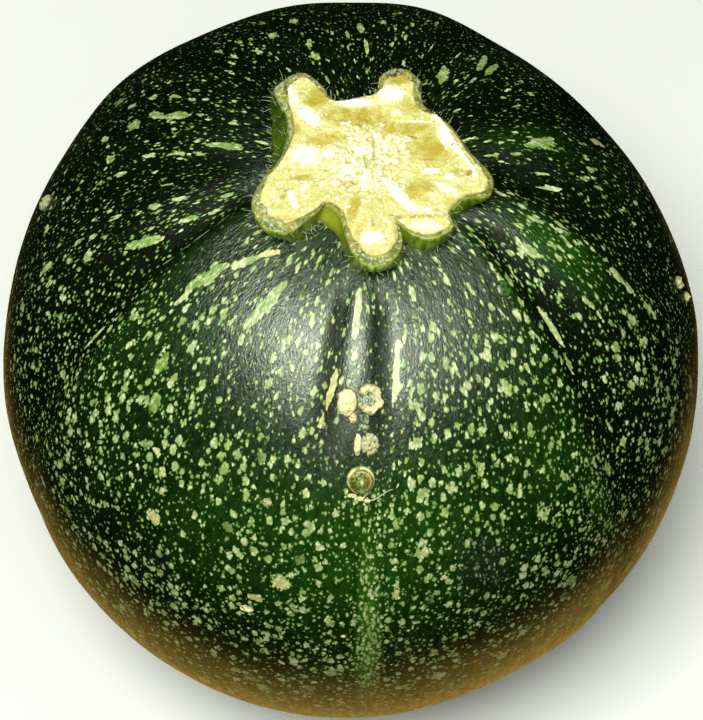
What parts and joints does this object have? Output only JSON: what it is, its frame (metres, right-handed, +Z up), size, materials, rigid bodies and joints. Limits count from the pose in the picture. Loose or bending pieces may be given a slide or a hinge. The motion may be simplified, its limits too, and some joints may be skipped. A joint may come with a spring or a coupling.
{
  "type": "round zucchini",
  "caption": "Round, shallowly ribbed green zucchini, speckled pale green, standing on its blossom end with the short star-shaped stub of its cut stem on top.",
  "frame": {"origin": "middle of the flat underside at the blossom end, straight below the middle of the stem", "axes": "+Z up along the fruit's axis to the cut stem, -Y to the narrow front rib that carries the scars, +X to its right"},
  "size_m": [0.1154, 0.1175, 0.1158],
  "materials": {
    "speckled_skin": "waxy, glossy dark green skin with pale yellow-green flecks",
    "cut_stem": "moist pale yellow cut flesh in a bright green wall"
  },
  "bodies": {
    "root": {"fruit_body": "speckled_skin", "stem_stub": "cut_stem"}
  },
  "joints": []
}
